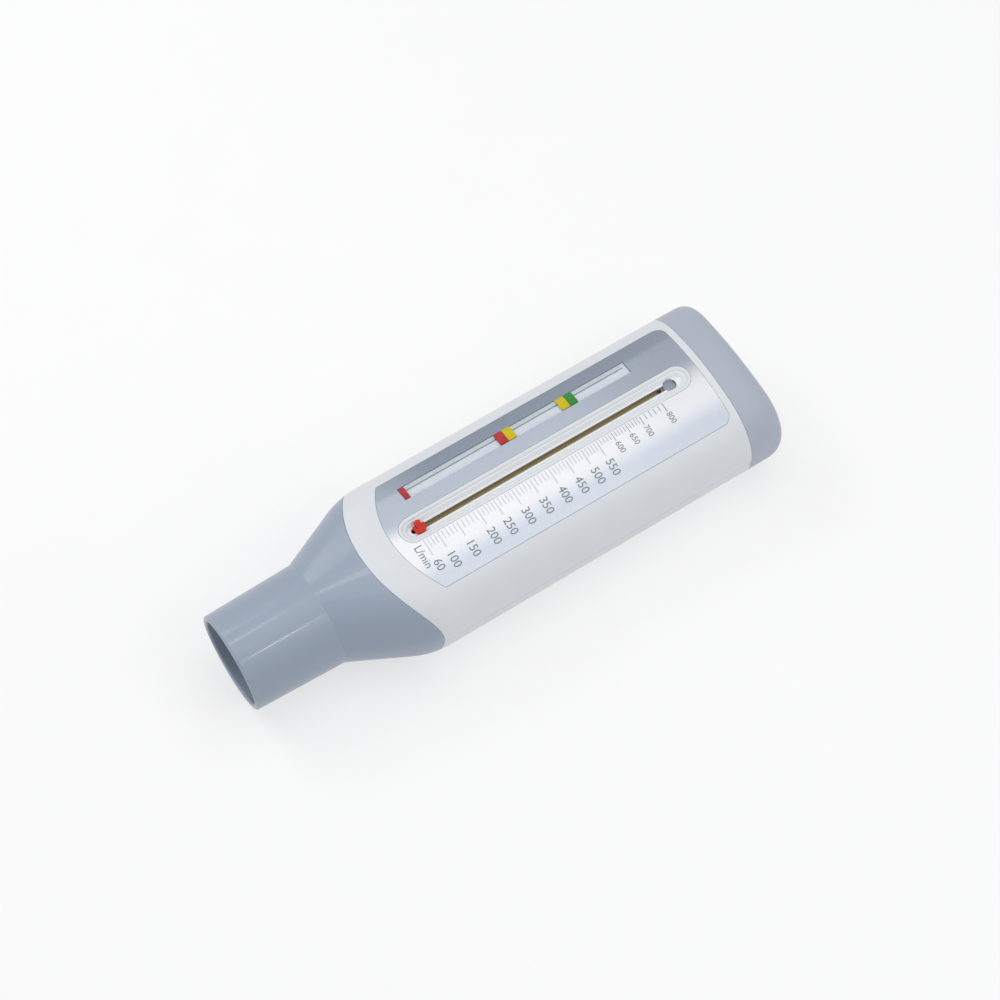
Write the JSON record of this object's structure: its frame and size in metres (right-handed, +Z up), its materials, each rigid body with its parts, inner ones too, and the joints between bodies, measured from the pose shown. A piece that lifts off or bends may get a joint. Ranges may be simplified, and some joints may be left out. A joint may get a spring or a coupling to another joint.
{
  "type": "peak flow meter",
  "caption": "Hand-held peak flow meter: round mouthpiece flaring into an oval body with a curved scale plate, slotted trough, sliding pointer and zone markers, and a domed end cap.",
  "frame": {"origin": "centre of the bounding box at its foot, on the flat of the rear cover", "axes": "+X along the body from the mouthpiece to the end cap, +Z up out of the scale plate, +Y towards the zone track"},
  "size_m": [0.1728, 0.053, 0.0353],
  "materials": {
    "mouthpiece_grey": "satin gloss",
    "body_white": "satin",
    "cap_grey": "satin",
    "plate_silver": "fine metallic flake",
    "track_pale": "satin",
    "marker_red": "satin",
    "marker_green": "satin",
    "pointer_red": "satin",
    "rail_olive": "satin",
    "plug_grey": "satin",
    "barrel_white": "satin",
    "piston_white": "satin",
    "bush_brass": "turned",
    "spring_steel": "bright",
    "soft_black": "matte"
  },
  "bodies": {
    "housing": {"mouthpiece": "mouthpiece_grey", "front_cover": "body_white", "rear_cover": "body_white", "end_cap": "cap_grey", "scale_plate": "plate_silver", "zone_track": "track_pale", "zone_end_stop": "marker_red", "pointer_rail": "rail_olive", "keyhole_plug": "plug_grey", "barrel": "barrel_white", "guide_rod": "spring_steel", "return_spring": "spring_steel", "front_rod_holder": "barrel_white", "rear_rod_holder": "barrel_white", "front_rod_clip": "spring_steel", "rear_rod_clip": "spring_steel", "bumper": "soft_black", "sealing_ring": "soft_black"},
    "piston_unit": {"piston": "piston_white", "piston_bush": "bush_brass"},
    "pointer_unit": {"pointer": "pointer_red", "pointer_clip": "spring_steel"},
    "low_marker": {"red_yellow_marker": "marker_red"},
    "high_marker": {"yellow_green_marker": "marker_green"}
  },
  "joints": [
    {"name": "piston_slide", "type": "slide", "parent": "housing", "child": "piston_unit", "axis": [1, 0, 0], "range_m": [0, 0.0804], "stiffness_N_per_m": 6, "springref_m": -0.01, "deforming": ["return_spring"]},
    {"name": "pointer_slide", "type": "slide", "parent": "housing", "child": "pointer_unit", "axis": [1, 0, 0], "range_m": [0, 0.0804]},
    {"name": "low_marker_slide", "type": "slide", "parent": "housing", "child": "low_marker", "axis": [1, 0, 0], "range_m": [-0.03, 0.0076]},
    {"name": "high_marker_slide", "type": "slide", "parent": "housing", "child": "high_marker", "axis": [1, 0, 0], "range_m": [-0.0076, 0.0179]}
  ],
  "couplings": [
    {"joint": "pointer_slide", "follows": "piston_slide", "ratio": 1}
  ]
}
